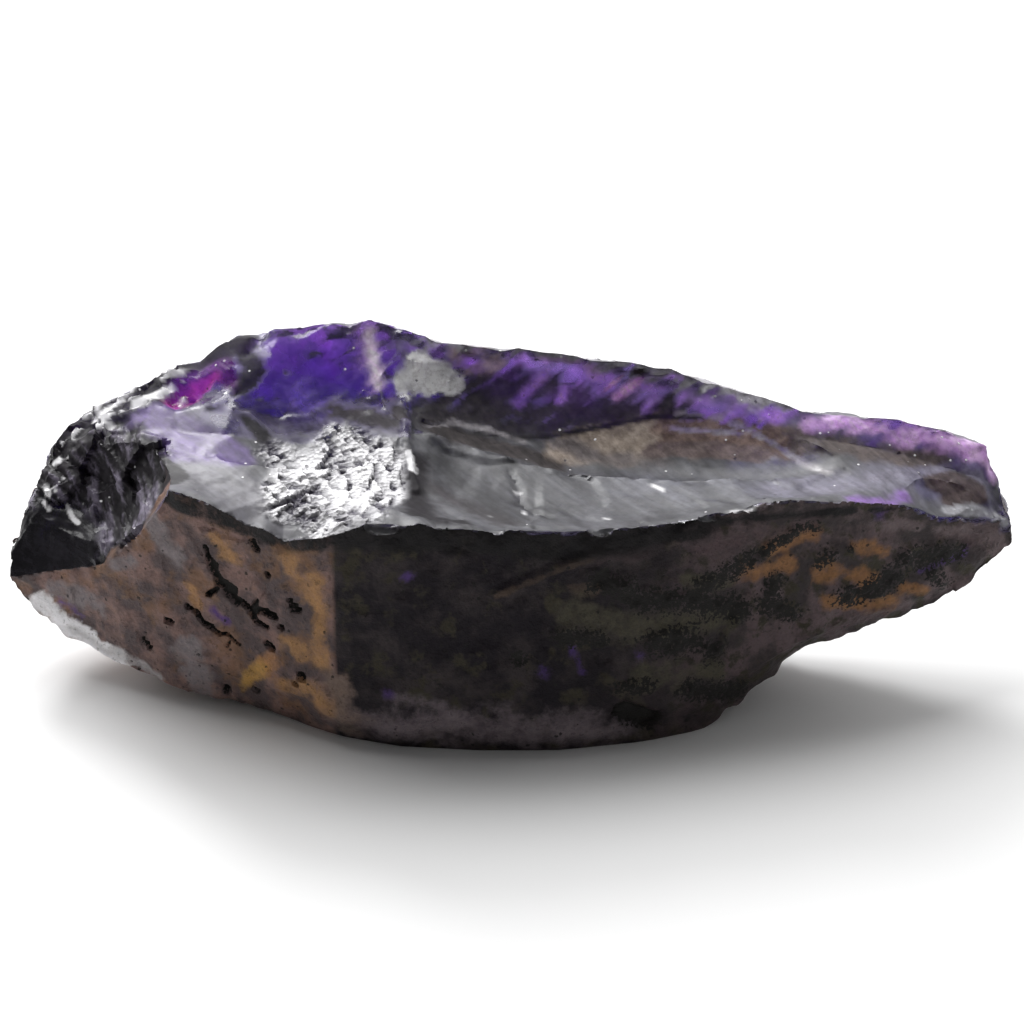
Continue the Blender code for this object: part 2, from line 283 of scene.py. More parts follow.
# The stains, with a few marks of painted light and shade among them, in the order they are laid: a colour,
# how much of it, its softness and raggedness, and strokes.
RIDGE = ((-0.8, -8.6, 10.3), (1.2, -8.3, 11.1), (3.5, -7.8, 11.9), (5.3, -7.3, 12.3))
STAINS_AND_PAINTED_LIGHT = (
    ((0.205, 0.180, 0.190), 0.9, (0.8, 0.6), (  # grey bloom
        (((-19.2, -4.6, 4.1), (-18.6, -4.4, 1.5)), 1.7),
        (((-27.6, -0.2, 5.8), (-26.0, -0.9, 5.6), (-24.7, -1.8, 5.5)), 1.3),
        (((-21.4, -3.5, 12.6), (-20.7, -3.9, 11.6), (-19.9, -4.3, 10.5)), 1.3),
        (((-23.6, -2.4, 8.9), (-22.7, -3.0, 9.4)), 0.8),
    )),
    ((0.140, 0.115, 0.130), 0.85, (1.0, 0.35), (  # painted light: a paler band along the foot, standing in for light thrown up by the floor
        (((-9.0, -9.3, 1.6), (-6.5, -9.7, 1.9), (0.0, -9.6, 1.7), (6.0, -9.3, 1.2)), 3.2),
        (((-6.5, -9.7, 3.8), (-4.1, -9.8, 3.5)), 1.0),
    )),
    ((0.190, 0.158, 0.174), 0.55, (1.0, 0.6), (  # paler patches in that painted floor light
        (((-7.5, -9.5, 1.4), (-3.0, -9.7, 1.9)), 1.4),
        (((3.0, -9.5, 1.3), (6.0, -9.3, 1.2)), 1.0),
        (((12.6, -6.5, 1.7),), 0.7),
    )),
    ((0.190, 0.138, 0.115), 0.95, (1.0, 0.6), (  # brown where the blunt end begins
        (((-10.3, -8.8, 4.6), (-9.9, -9.1, 3.0), (-9.5, -9.3, 0.8)), 1.8),
    )),
    ((0.370, 0.205, 0.090), 0.85, (1.0, 0.5), (  # ochre
        (((-17.4, -5.4, 12.2), (-16.6, -5.7, 11.3)), 1.4),
        (((-12.8, -7.7, 12.1), (-11.9, -8.1, 10.4)), 1.6),
        (((-11.4, -8.3, 11.3), (-11.2, -8.4, 8.7), (-11.2, -8.5, 5.6)), 1.2),
        (((-18.9, -4.7, 8.5), (-18.6, -4.8, 7.5)), 0.9),
        (((-13.3, -7.4, 6.5), (-12.4, -7.9, 6.1)), 1.4),
        (((-13.4, -7.2, 3.2), (-11.8, -8.2, 3.5), (-11.1, -8.6, 2.8)), 1.3),
    )),
    ((0.250, 0.125, 0.055), 0.9, (0.9, 0.6), (  # rust
        (((15.6, -4.6, 11.0), (16.9, -4.1, 11.5), (17.8, -3.8, 11.6)), 1.1),
        (((14.3, -5.1, 9.9), (16.7, -4.3, 9.9)), 1.3),
        (((18.5, -3.7, 9.0), (19.8, -3.3, 8.8), (21.3, -2.8, 7.9)), 1.5),
        (((19.0, -3.5, 7.0), (22.0, -2.6, 6.1), (23.2, -2.2, 6.2)), 1.1),
        (((23.8, -2.0, 6.9), (25.1, -1.6, 6.5)), 0.8),
        (((20.5, -3.0, 10.6), (22.5, -2.2, 9.6)), 1.0),
    )),
    ((0.010, 0.008, 0.010), 0.9, (1.0, 0.6), (  # a black vein
        (((-6.4, -9.4, 6.7), (-5.0, -9.6, 5.7), (-3.5, -9.7, 4.2)), 0.3),
    )),
    ((0.120, 0.105, 0.075), 0.7, (1.0, 0.8), (  # olive veins
        (((-2.9, -9.5, 8.2), (-3.6, -9.5, 7.4), (-2.6, -9.6, 6.6)), 0.30),
        (((-3.6, -9.5, 7.4), (-1.9, -9.5, 7.2)), 0.26),
        (((-5.6, -9.2, 9.6), (-4.4, -9.2, 9.8), (-3.0, -9.1, 10.2)), 0.26),
        (((-8.8, -9.2, 9.2), (-7.6, -9.3, 8.6)), 0.24),
    )),
    ((0.070, 0.048, 0.036), 0.8, (0.9, 0.6), (  # brown on the ridge
        (RIDGE, 0.40),
        (((3.8, -8.0, 10.5), (5.0, -7.9, 10.2)), 0.8),
    )),
    ((0.085, 0.058, 0.064), 0.8, (0.9, 0.6), (  # mauve
        (((5.3, -7.3, 12.5), (8.0, -6.7, 12.4)), 1.1),
        (((11.2, -5.9, 11.9), (14.8, -4.7, 12.2), (17.8, -3.7, 12.5)), 1.1),
        (((25.8, -1.0, 9.9), (28.1, 0.0, 9.4), (29.5, 0.3, 8.8)), 1.0),
        (((19.0, -3.4, 4.6), (22.5, -2.3, 5.3)), 0.9),
    )),
    ((0.080, 0.040, 0.190), 0.75, (1.0, 0.4), (  # violet showing through
        (((-17.7, -5.2, 7.4), (-16.8, -5.5, 6.6)), 0.7),
        (((-5.9, -8.8, 11.7),), 0.9),
        (((2.1, -9.3, 5.5),), 1.0),
        (((3.8, -8.8, 6.7), (4.3, -9.0, 5.3)), 0.6),
        (((7.7, -8.1, 5.9),), 0.7),
        (((-7.2, -9.6, 4.1),), 0.7),
        (((24.7, -1.6, 7.8), (27.3, -0.5, 8.5)), 0.6),
        (((22.1, -2.3, 12.1),), 0.8),
    )),
    ((0.400, 0.200, 0.085), 0.8, (1.0, 0.6), (  # orange clay
        (((-14.9, -6.5, 4.3), (-14.0, -6.9, 4.6)), 1.4),
    )),
    ((0.440, 0.255, 0.075), 0.9, (1.0, 0.5), (  # yellow clay
        (((-15.9, -5.4, 2.2), (-15.5, -5.9, 3.1), (-15.0, -6.4, 4.0)), 1.15),
    )),
    ((0.98, 0.96, 0.99), 1.0, (0.5, 0.6), (  # a fresh chip along the lower edge, its white partly a painted highlight
        (((-28.8, 0.1, 4.6), (-26.6, -0.9, 3.3), (-24.9, -1.7, 2.5), (-23.5, -2.3, 1.9)), 1.0),
    )),
    ((0.520, 0.510, 0.530), 0.8, (0.8, 0.5), (  # its greyer edge
        (((-26.8, -0.8, 3.4), (-24.4, -1.9, 2.3)), 0.35),
        (((-23.8, -2.4, 2.5), (-22.4, -3.0, 2.0), (-21.2, -3.3, 1.2)), 0.8),
    )),
    ((0.120, 0.060, 0.260), 0.7, (0.6, 0.6), (  # violet in it
        (((-27.4, -0.4, 4.9), (-25.9, -1.2, 4.3)), 0.45),
    )),
    ((0.160, 0.125, 0.132), 0.8, (0.9, 0.6), (  # pale mauve by the tip
        (((25.8, -1.0, 10.4), (28.1, 0.0, 9.9), (29.6, 0.3, 9.0)), 0.9),
        (((21.0, -2.4, 11.6), (24.5, -1.4, 10.9)), 0.8),
    )),
    ((0.066, 0.060, 0.042), 0.85, (0.9, 0.6), (  # olive crust
        (((3.5, -8.6, 8.9), (8.0, -7.8, 7.6), (13.0, -6.0, 7.2)), 2.0),
        (((8.0, -8.3, 4.6), (12.0, -6.4, 4.0)), 1.6),
        (((10.5, -6.4, 10.2), (12.8, -5.6, 9.6)), 1.0),
    )),
    ((0.007, 0.006, 0.007), 0.97, (0.60, 0.25), (  # painted shade: a dark band under the overhanging rim
        (((-21.0, -3.6, 14.3), (-19.6, -4.2, 14.3)), 0.8),
        (((-19.6, -4.2, 14.4), (-18.2, -4.8, 14.1), (-16.1, -5.8, 13.8), (-14.5, -6.6, 13.5)), 1.15),
        (((-14.5, -6.6, 13.5), (-12.8, -7.5, 13.4), (-10.9, -8.3, 13.9)), 0.95),
        (((-9.7, -8.7, 14.6), (-3.6, -8.3, 14.2), (3.0, -7.5, 13.4), (7.8, -6.5, 13.2)), 1.8),
        (((7.8, -6.5, 13.2), (11.4, -5.5, 13.3)), 1.2),
        (((11.4, -5.5, 13.3), (14.0, -4.6, 13.4), (20.4, -2.8, 12.8)), 0.5),
        (((21.5, -2.5, 12.6), (25.0, -0.9, 11.8), (29.0, 0.2, 10.2)), 0.3),
    )),
)


def laid_over(below, share, layer):
    """The values of a surface with a layer over it, which hides it where its share is 1."""
    return below + share[:, None] * (np.array(layer) - below)


# The stains and the painted light and shade laid among them make one colour, with its share.
stain_and_light = np.zeros((len(points), 4))
for color, strength, (blur, wobble), strokes in STAINS_AND_PAINTED_LIGHT:
    stain_and_light = laid_over(stain_and_light, strength * along(*strokes, blur=blur, wobble=wobble), (*color, 1.0))

# The films over the breaks, with marks of painted light and shade among them, laid in order: a colour, its
# share of the surface, its roughness, its softness and raggedness, and strokes. Flat breaks start with a grey
# film and walls with a thin violet one.
FLAT_FILM = (0.078, 0.078, 0.088, 0.80, 0.42)
WALL_FILM = (0.22, 0.17, 0.42, 0.22, 0.12)
MAGENTA_POCKET = (
    (((-20.4, 6.2, 15.4), (-19.2, 6.6, 15.7)), 0.8),
    (((-19.0, 6.7, 15.9), (-17.8, 6.8, 16.2)), 0.6),
)
FILMS_AND_PAINTED_LIGHT = (
    ((0.040, 0.040, 0.046), 0.90, 0.55, (0.9, 0.35), (  # grey of the floor, paler towards the thin end, and darker on the left as painted shade
        (((-4.5, 0.5, 13.7), (-1.5, -2.0, 13.3), (0.5, -4.0, 13.2)), 3.2),
    )),
    ((0.098, 0.098, 0.122), 0.80, 0.42, (0.9, 0.35), (
        (((7.9, 0.5, 13.0), (15.0, -1.0, 13.2)), 4.0),
    )),
    ((0.175, 0.165, 0.225), 0.75, 0.36, (0.9, 0.35), (
        (((16.5, -1.0, 13.2), (23.0, 0.8, 12.7), (27.5, 2.7, 12.0)), 2.4),
    )),
    ((0.016, 0.014, 0.017), 0.96, 0.80, (0.6, 0.35), (  # painted shade: a dark hollow at the left of the floor
        (((-5.9, 0.6, 14.0), (-5.6, -3.5, 13.8), (-5.0, -6.5, 14.3), (-3.0, -6.9, 14.0)), 1.5),
    )),
    ((0.040, 0.036, 0.040), 0.92, 0.60, (0.9, 0.60), (  # the edge of that painted shade
        (((-4.2, -2.0, 13.5), (-2.3, -3.6, 13.3), (0.0, -5.6, 13.3)), 1.3),
    )),
    ((0.110, 0.070, 0.210), 0.75, 0.40, (0.3, 0.15), (  # frosted sill
        (((-21.6, 4.2, 14.8), (-19.4, 2.2, 14.6), (-17.3, 0.4, 14.5)), 2.4),
    )),
    ((0.108, 0.104, 0.124), 0.80, 0.44, (0.4, 0.20), (  # grey shelf in front of the sill
        (((-19.6, -1.6, 14.7), (-16.8, -3.0, 14.6), (-15.3, -4.8, 14.1)), 2.3),
        (((-14.4, -5.6, 14.0), (-13.6, -6.8, 13.7)), 1.0),
    )),
    ((0.022, 0.020, 0.023), 0.93, 0.70, (0.5, 0.35), (  # grey dust on the rim of the blunt end
        (
            (
                (-28.9, 4.0, 11.2), (-26.5, 5.8, 13.4), (-23.5, 6.8, 14.8),
                (-21.0, 7.4, 15.7), (-16.8, 8.6, 18.0),
            ),
            1.9,
        ),
        (((-16.8, 8.4, 18.0), (-15.5, 6.8, 17.3), (-16.2, 5.7, 16.5)), 1.0),
        (((-18.0, 5.0, 15.2), (-16.0, 4.0, 15.0), (-14.8, 2.8, 14.6)), 0.7),
    )),
    ((0.040, 0.034, 0.040), 0.95, 0.60, (0.8, 0.50), (  # smoky shadow at the foot of the walls
        (((-10.9, 4.7, 15.4), (-8.7, 4.1, 15.2), (-6.9, 3.6, 15.0), (-6.6, 4.6, 15.5)), 1.2),
        (((-13.6, 6.6, 17.0),), 0.3),
        (((-5.6, 5.0, 15.2), (-4.2, 5.9, 15.3), (-2.4, 6.8, 15.8), (-1.3, 7.3, 16.4)), 0.8),
        (((-4.8, 4.9, 14.8), (-1.8, 5.8, 14.7), (1.9, 6.1, 14.6), (5.5, 6.3, 14.7), (9.5, 5.9, 14.8)), 1.9),
        (((-2.6, 6.2, 15.3), (-0.6, 6.9, 15.7), (2.6, 6.9, 15.6)), 1.7),
    )),
    ((0.28, 0.17, 0.90), 0.55, 0.20, (1.0, 0.50), (  # the bluest place of the left wall
        (((-13.2, 5.6, 15.7), (-12.4, 5.1, 15.3)), 1.6),
    )),
    ((0.040, 0.035, 0.042), 0.90, 0.50, (1.0, 0.50), (  # smoky gaps between the feathers
        (((-0.3, 7.2, 16.2), (0.6, 7.5, 16.6)), 0.9),
        (((2.2, 6.6, 15.4), (4.0, 6.8, 15.4), (5.5, 6.4, 14.9), (6.9, 6.2, 14.7)), 0.8),
        (((11.0, 6.4, 15.5), (10.6, 5.9, 14.8)), 0.7),
    )),
    ((0.50, 0.24, 1.00), 0.85, 0.25, (1.0, 0.45), (  # feathers of violet and lilac: the crystal's violet, painted bright as light shining through the thin wall
        (((2.3, 7.6, 16.7), (1.4, 7.1, 15.8), (0.5, 6.4, 15.0)), 0.55),
        (((3.4, 7.1, 15.9), (3.1, 6.6, 15.1)), 0.45),
        (((4.9, 7.5, 16.7), (5.7, 7.2, 16.1)), 0.6),
        (((8.3, 7.1, 16.0), (9.0, 6.7, 15.5), (8.3, 6.1, 14.7)), 0.6),
        (((13.5, 6.2, 15.5), (13.6, 5.4, 14.5)), 0.6),
        (((15.1, 5.8, 15.1), (16.0, 5.2, 14.6), (16.8, 5.8, 15.0)), 0.9),
    )),
    ((0.62, 0.34, 0.72), 0.75, 0.30, (1.0, 0.50), (  # mauve under the back rim
        (((2.0, 7.9, 17.4), (3.8, 7.8, 17.2), (5.3, 7.5, 16.7)), 0.5),
    )),
    ((0.86, 0.38, 1.00), 0.97, 0.25, (0.7, 0.35), (  # the brightest feather, a painted glow of light through the wall
        (((6.5, 6.6, 15.3), (7.2, 6.9, 15.7), (8.0, 7.3, 16.3)), 0.42),
        (((5.9, 6.9, 15.7), (7.0, 7.4, 16.5)), 0.20),
    )),
    ((0.28, 0.25, 0.32), 0.60, 0.35, (0.9, 0.35), (  # grey haze on the right of the wall
        (((10.9, 6.5, 15.8), (12.6, 6.1, 15.4), (15.0, 5.8, 15.1)), 0.9),
    )),
    ((0.62, 0.36, 0.90), 0.50, 0.25, (1.0, 0.50), (  # painted highlight: the lilac streak down the high wall
        (((-8.9, 8.3, 18.9), (-8.4, 7.1, 17.6), (-8.0, 6.0, 16.6)), 1.5),
    )),
    ((1.00, 0.80, 1.00), 0.95, 0.25, (1.0, 0.25), (  # its pale heart, the brightest part of the painted highlight
        (((-8.6, 8.3, 18.9), (-8.4, 7.6, 18.1), (-8.2, 6.9, 17.4), (-8.0, 6.0, 16.6)), 0.75),
    )),
    ((0.30, 0.27, 0.38), 0.55, 0.35, (0.9, 0.60), (  # greyer violet beside it
        (((-7.2, 7.7, 18.4), (-6.2, 7.8, 18.1), (-6.6, 6.9, 17.2)), 0.9),
    )),
    ((0.80, 0.78, 0.86), 0.75, 0.35, (0.9, 0.50), (  # painted reflection: haze at the edge of the notch
        (((-6.6, 6.6, 16.6), (-5.4, 6.9, 16.8)), 1.3),
    )),
    ((0.96, 0.96, 0.97), 0.97, 0.30, (0.3, 0.20), (  # painted reflection: the pale notch facet, as if throwing back the bright room
        (((-5.5, 7.2, 17.2), (-5.0, 7.0, 16.8), (-4.3, 7.1, 16.6)), 1.05),
        (((-6.4, 6.5, 16.3), (-4.6, 6.6, 16.3), (-3.5, 6.8, 16.3)), 0.90),
    )),
    ((0.42, 0.31, 0.32), 0.85, 0.45, (0.8, 0.60), (  # pinkish tan facet behind the notch
        (((-3.4, 7.8, 17.8), (-1.8, 7.8, 17.5), (-0.8, 7.7, 17.1)), 0.9),
        (((-2.9, 7.4, 17.0), (-1.9, 7.5, 17.0)), 0.7),
    )),
    ((0.36, 0.35, 0.38), 0.92, 0.45, (0.5, 0.70), (  # the dusty ledge along the back rim
        (((-4.4, 8.6, 18.3), (-0.6, 8.9, 17.8), (3.1, 8.5, 17.7), (6.7, 8.1, 17.1)), (1.2, 0.95, 0.95)),
        (((6.7, 8.0, 17.1), (10.4, 7.4, 16.4), (13.4, 6.8, 15.8), (16.4, 6.2, 15.2)), (1.2, 0.95, 0.95)),
    )),
    ((0.042, 0.036, 0.036), 0.96, 0.75, (0.5, 0.35), (  # the dark leaf on the floor
        (((-4.2, 3.9, 14.2), (-1.8, 3.6, 13.6), (0.6, 2.9, 13.1), (2.6, 2.6, 12.8)), 1.25),
    )),
    ((0.350, 0.285, 0.235), 0.97, 0.60, (0.6, 0.45), (  # brown stains behind the leaf
        (((3.2, 3.9, 13.1), (4.4, 4.4, 13.2), (8.5, 4.6, 13.4), (11.0, 4.5, 13.4)), 1.4),
        (
            (
                (3.6, 4.8, 13.5), (5.5, 5.0, 13.7), (7.9, 5.2, 13.9),
                (9.4, 4.6, 13.3), (7.3, 3.9, 12.9), (4.4, 4.1, 13.0),
            ),
            1.3,
        ),
    )),
    ((0.175, 0.150, 0.150), 0.95, 0.55, (0.8, 0.60), (  # greyer fringe of the stains
        (((3.0, 4.4, 13.3), (6.0, 3.4, 12.9), (9.5, 3.4, 12.9)), 0.9),
    )),
    ((0.175, 0.120, 0.100), 0.97, 0.60, (0.5, 0.35), (  # redder brown on their right
        (((9.8, 5.0, 13.7), (12.0, 4.9, 13.8), (14.5, 4.3, 13.7), (17.0, 3.8, 13.6)), 1.4),
    )),
    ((0.034, 0.029, 0.034), 0.94, 0.60, (0.5, 0.25), (  # painted shade in the crease at the foot of the wall
        (((-1.0, 4.9, 14.1), (0.8, 5.0, 14.1), (2.3, 5.2, 14.1), (5.5, 5.8, 14.4), (7.6, 6.0, 14.7)), 0.62),
    )),
    ((0.012, 0.010, 0.012), 0.95, 0.60, (0.6, 0.15), (  # painted shade: a dark line in that crease, over the stains
        (
            (
                (-2.1, 4.5, 13.9), (0.8, 4.6, 13.6), (2.3, 4.8, 13.6),
                (5.5, 5.4, 13.9), (8.7, 5.8, 14.4), (11.6, 5.6, 14.5),
            ),
            0.27,
        ),
    )),
    ((0.150, 0.112, 0.106), 0.95, 0.55, (0.20, 0.20), (  # brown fringe in front of the stains
        (((8.6, 3.9, 13.3), (12.0, 3.8, 13.4), (15.2, 3.3, 13.3)), 0.75),
    )),
    ((0.085, 0.068, 0.064), 0.97, 0.60, (0.7, 0.55), (  # dark brown further right
        (((17.5, 4.0, 13.7), (21.2, 3.3, 13.4), (23.6, 3.2, 13.1), (26.1, 3.7, 12.7)), 1.3),
    )),
    ((0.30, 0.28, 0.30), 0.80, 0.35, (0.7, 0.60), (  # pale edges of the leaf and of the stains
        (((-4.9, 4.2, 14.7), (-3.3, 5.0, 14.4), (-1.2, 4.8, 14.0), (0.9, 4.3, 13.5)), 0.28),
        (
            ((10.2, 5.9, 14.6), (12.8, 5.6, 14.4), (14.6, 4.7, 14.0), (16.1, 3.9, 13.5), (17.6, 2.7, 13.1)),
            0.26,
        ),
        (((17.6, 2.7, 13.1), (19.2, 1.2, 13.1)), 0.40),
        (((9.8, 5.2, 13.9), (11.6, 5.0, 13.8), (14.0, 4.7, 13.8)), 0.24),
    )),
    ((0.86, 0.48, 1.00), 0.80, 0.30, (0.9, 0.50), (  # lilac along the back of the thin end: the crystal's violet, painted bright as light shining through the thin edge
        (((18.4, 5.0, 14.4), (20.7, 5.1, 14.3), (23.7, 4.9, 13.8)), 0.9),
        (((23.7, 4.9, 13.8), (26.2, 4.6, 13.4), (28.9, 4.2, 12.8), (29.8, 3.5, 11.9)), 1.1),
    )),
    ((0.165, 0.155, 0.205), 0.88, 0.40, (0.6, 0.35), (  # grey strip towards the tip
        (((22.0, 0.8, 12.8), (24.5, 1.9, 12.4), (26.4, 2.9, 12.2), (28.3, 3.0, 11.8)), 0.8),
    )),
    ((0.24, 0.10, 0.46), 0.75, 0.30, (1.0, 0.70), (  # violet patch by the front rim, a painted glow of light through the thin edge
        (((20.6, -2.5, 13.2), (22.7, -1.9, 12.7), (23.8, -0.4, 12.3)), 0.9),
    )),
    ((0.062, 0.044, 0.044), 0.97, 0.45, (0.4, 0.35), (  # brown hollow by the tip
        (((25.7, 1.8, 12.1), (27.3, 2.5, 11.9), (28.3, 1.8, 11.3), (26.7, 1.1, 11.3)), 1.0),
    )),
    ((0.42, 0.42, 0.46), 0.80, 0.30, (0.5, 0.35), (  # the pale face under it
        (((26.3, 0.0, 11.1), (28.1, 0.6, 10.8), (29.0, 0.8, 10.4), (30.0, 0.9, 9.8)), 0.5),
    )),
    ((0.10, 0.02, 0.14), 0.80, 0.20, (0.5, 0.35), (  # dark plum round the magenta pocket
        (((-20.3, 6.9, 15.9), (-17.2, 7.2, 16.9), (-16.9, 6.3, 16.2)), 0.9),
    )),
    ((0.040, 0.036, 0.040), 0.92, 0.55, (0.5, 0.35), (  # dusty front lip of the bowl
        (((-25.8, -1.2, 9.3), (-22.6, -1.8, 11.2), (-20.6, -2.4, 13.2)), 1.2),
    )),
    ((0.012, 0.010, 0.013), 0.95, 0.50, (0.15, 0.12), (  # the black bowl
        (((-24.9, 1.2, 11.4),), (6.4, 5.6, 4.8)),
        (((-27.0, 4.6, 12.0), (-24.6, 5.4, 13.4)), 1.3),
        (((-21.0, 0.4, 13.4), (-19.9, -1.9, 13.9)), 1.2),
    )),
    ((0.012, 0.011, 0.014), 0.93, 0.22, (0.15, 0.12), (  # the glossy toe under the bowl
        (((-27.9, 0.3, 8.0),), (4.6, 4.2, 3.8)),
    )),
    ((0.62, 0.05, 0.48), 0.60, 0.20, (0.5, 0.35), MAGENTA_POCKET),
)
REAR_FILM = (0.035, 0.022, 0.075, 0.45, 0.22)
REAR_DUST = (0.075, 0.065, 0.080, 0.70, 0.40)
flat_from = np.where(y < 2.5, 0.50, np.where(x > -6, 0.70, 0.84))
flat = eased(0.0, 0.12, upward - flat_from)[:, None]
films_and_light = flat * np.array(FLAT_FILM) + (1 - flat) * np.array(WALL_FILM)
rear = eased(0.1, 0.4, facing_back) * eased(0.7, 0.4, facing_up)
dusty = eased(0.0, 0.6, lumps(5.0, at=(1, 6, 3), layers=3))
rear_film = laid_over(np.array(REAR_FILM), dusty, REAR_DUST)
rear_share = rear * eased(0.0, 0.4, lumps(3.0, at=(7, 3, 3), layers=3) + 0.55)
films_and_light = laid_over(films_and_light, rear_share, rear_film)
for color, share, rough, (blur, wobble), strokes in FILMS_AND_PAINTED_LIGHT:
    films_and_light = laid_over(films_and_light, along(*strokes, blur=blur, wobble=wobble), (*color, share, rough))

# Every film is thicker in some places than in others, in blotches drawn out down the floor's slope.
FILM_BLOTCHES = 0.5
drawn_out = np.column_stack([x + 0.5 * y, 0.45 * y - 0.2 * x, z])
blotches = layered(drawn_out / 2.0 + 11.0, 5)
films_and_light[:, :3] *= (1 + FILM_BLOTCHES * np.clip(blotches, -1, 1))[:, None]

# Paler, glossier fibres curve round the bowl about a line along Y.
FIBRE_MIDDLE_X, FIBRE_MIDDLE_Z = -29.0, 9.0
FIBRE_GAIN = (0.13, 0.115, 0.155)
FIBRE_GLOSS = 0.25
fibre_turn = np.arctan2(z - FIBRE_MIDDLE_Z, x - FIBRE_MIDDLE_X)
fibre_reach = np.hypot(z - FIBRE_MIDDLE_Z, x - FIBRE_MIDDLE_X)
fibre_places = np.column_stack([fibre_reach / 0.7, fibre_turn * 2.0, y / 3.5])
fibres = layered(fibre_places, 4, fading=0.6, finer=2.2)
films_and_light[:, :3] += (bowl * eased(0.0, 0.55, fibres))[:, None] * np.array(FIBRE_GAIN)
films_and_light[:, 4] -= FIBRE_GLOSS * bowl * eased(0.0, 0.5, fibres)

# White grains and painted glints: painted highlights along the rim, on the edges and scattered as grit, and a
# few crushed grains in spots.
GRAINS_AND_GLINTS = (
    (((-17.2, 6.6, 15.8),), 0.35),
    (((-28.2, 3.3, 10.9), (-28.0, 2.9, 10.5)), 0.24),
    (((-28.3, 2.6, 10.2), (-28.0, 2.2, 9.9)), 0.20),
    (((-27.5, 3.1, 10.6),), 0.20),
    (((-26.9, 2.4, 10.1), (-26.5, 1.6, 9.7), (-26.1, 1.2, 9.5)), 0.16),
    (((-20.1, -0.6, 13.9),), 0.2),
    (((-25.3, 6.2, 13.9), (-23.7, 7.4, 14.8)), 0.30),
    (((-22.8, 6.3, 14.9), (-20.7, 6.9, 15.8)), 0.45),
    (((8.6, -0.4, 13.1), (9.1, -1.0, 13.1)), 0.22),
    (((0.5, -1.2, 13.1),), 0.22),
    (((0.9, -3.8, 13.1),), 0.26),
    (((1.7, -4.2, 13.1),), 0.18),
    (((5.7, -4.7, 13.1), (6.0, -4.9, 13.1)), 0.22),
    (((-1.3, -4.5, 13.2), (-1.0, -4.8, 13.2)), 0.22),
    (((12.0, 6.6, 15.7), (12.4, 6.3, 15.5)), 0.22),
    (((11.6, 6.2, 15.3),), 0.20),
    (((-12.0, 7.2, 17.6),), 0.20),
    (((13.1, -4.9, 13.7), (14.4, -4.7, 13.7)), 0.35),
    (((-6.3, 6.0, 15.9), (-6.2, 4.6, 15.4)), 0.30),
    (((-6.1, 1.2, 14.3), (-5.8, -0.4, 14.0)), 0.35),
)
# Grit: painted glints scattered over the breaks, thicker in these places.
GLINT_GRIT_PLACES = (
    (((-19.2, 6.2, 15.0), (-16.9, 3.0, 15.0), (-15.6, 2.1, 14.4)), 1.4),
    (((-8.0, 7.0, 17.8), (-6.8, 6.0, 16.4), (-6.4, 4.6, 15.6)), 1.4),
    (((-1.6, 7.8, 17.5),), 1.2),
    (((2.5, 4.6, 13.4), (6.6, 4.4, 13.2)), 1.7),
    (((12.4, 6.0, 15.4), (14.4, 5.8, 15.2)), 0.9),
    (((19.5, 4.4, 13.9), (24.0, 4.2, 13.4), (27.0, 3.6, 12.6)), 1.4),
    (((-28.6, 3.4, 11.2), (-27.4, 2.6, 10.4)), 1.2),
)
GLINT_GRIT_EVERYWHERE, GLINT_GRIT_IN_PLACES = 0.03, 0.28
glint_grit_share = GLINT_GRIT_EVERYWHERE + GLINT_GRIT_IN_PLACES * along(*GLINT_GRIT_PLACES, blur=0.9, wobble=0.6)
grains_and_glints = along(*GRAINS_AND_GLINTS, blur=0.5, wobble=0.6)
shifted = points + 1.0 * ragged[:, None] + 1.8 * lumps(3.6, at=(4, 9, 2))[:, None] * (1, -1, 0)
steps_here = reached(STEP_PATCH, shifted, edge=0.2)

# Stepped breaks: small plates, each tipped its own way, with a lean towards the left.
PLATE_LEAN, LEVEL = (0.14, 0.04, 0.0), (0, 0, 0)
PLATE_SPREAD = 0.19
PLATE_SEED = 1
noise.seed_set(PLATE_SEED)  # unseeded, noise_vector differs from run to run


def plates(size, seed, where, lean=PLATE_LEAN, spread=PLATE_SPREAD, drop=0.07):
    """The height of a surface broken in plates of about the given size, each set off by up to drop."""
    height = np.zeros(len(points))
    cells = np.array(size)
    for i in np.nonzero(where > 0.01)[0]:
        scaled = points[i] / cells + seed
        near = noise.voronoi(scaled.tolist())[1][0]
        away = (scaled - np.array(near)) * cells
        tip = np.array(noise.noise_vector(Vector(near) * 5.3)) * 2 * spread + lean
        height[i] = tip @ away + drop * noise.noise(Vector(near) * 3.1)
    return height


# The relief of the skin, in millimetres: lumps, grain, crusts, cracks, holes, flakes and a ridge.
CRACK_DEPTH, HOLE_DEPTH, RIDGE_HEIGHT = 0.40, 0.60, 0.22
skin_height = 0.20 * lumps(3.2, layers=3) + 0.09 * lumps(0.8, at=(1, 5, 2), layers=2)
skin_height += crusts * (0.10 + 0.22 * lumps(0.55, at=(4, 4, 1)))
skin_height -= CRACK_DEPTH * cracks + HOLE_DEPTH * holes
flaked = skin * eased(-0.2, 0.3, lumps(4.0, at=(3, 7, 7)))
skin_height += 0.10 * plates((2.2, 2.2, 1.6), 31, flaked, lean=LEVEL, spread=0.5)
skin_height += RIDGE_HEIGHT * along((RIDGE, 0.5))

